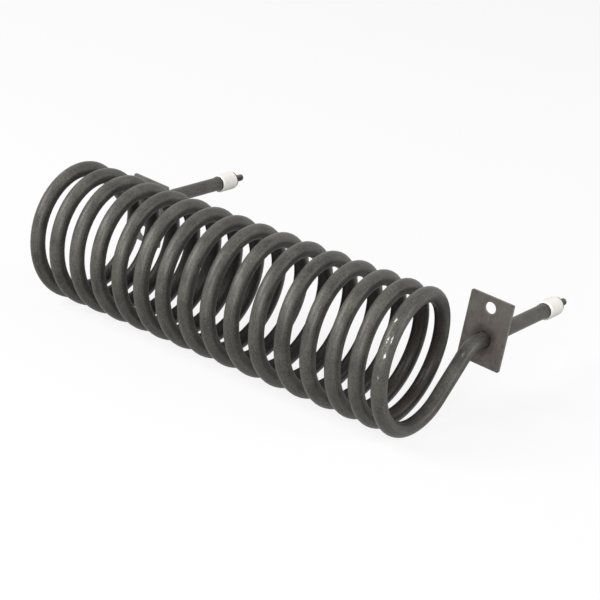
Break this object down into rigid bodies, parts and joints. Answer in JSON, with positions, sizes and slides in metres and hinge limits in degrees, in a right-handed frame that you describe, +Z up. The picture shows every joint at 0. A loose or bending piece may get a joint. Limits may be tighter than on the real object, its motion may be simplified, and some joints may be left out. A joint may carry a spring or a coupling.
{
  "type": "tubular heating element",
  "caption": "Coiled tubular electric heating element with two straight legs, a drilled mounting plate on each leg, and a ceramic bush and stud terminal at each end.",
  "frame": {"origin": "midway between the two bolt holes, in the plane of the mounting plates' back faces", "axes": "+X along the coil towards the right leg, +Y from the coil through the plates towards the terminals, +Z up"},
  "size_m": [0.2522, 0.1852, 0.075],
  "materials": {
    "sheath_steel": "oxidised, satin",
    "magnesia": "packed powder",
    "resistance_alloy": "drawn",
    "plate_steel": "heat tinted, satin",
    "pin_steel": "oxidised",
    "seal_resin": "matt",
    "bush_ceramic": "unglazed",
    "washer_steel": "oxidised"
  },
  "bodies": {
    "root": {"sheath": "sheath_steel", "insulation": "magnesia", "resistance_winding": "resistance_alloy", "mounting_plate_left": "plate_steel", "mounting_plate_right": "plate_steel", "terminal_pin_left": "pin_steel", "terminal_pin_right": "pin_steel", "mouth_seal_left": "seal_resin", "mouth_seal_right": "seal_resin", "ceramic_bush_left": "bush_ceramic", "ceramic_bush_right": "bush_ceramic", "terminal_washer_left": "washer_steel", "terminal_washer_right": "washer_steel"}
  },
  "joints": []
}
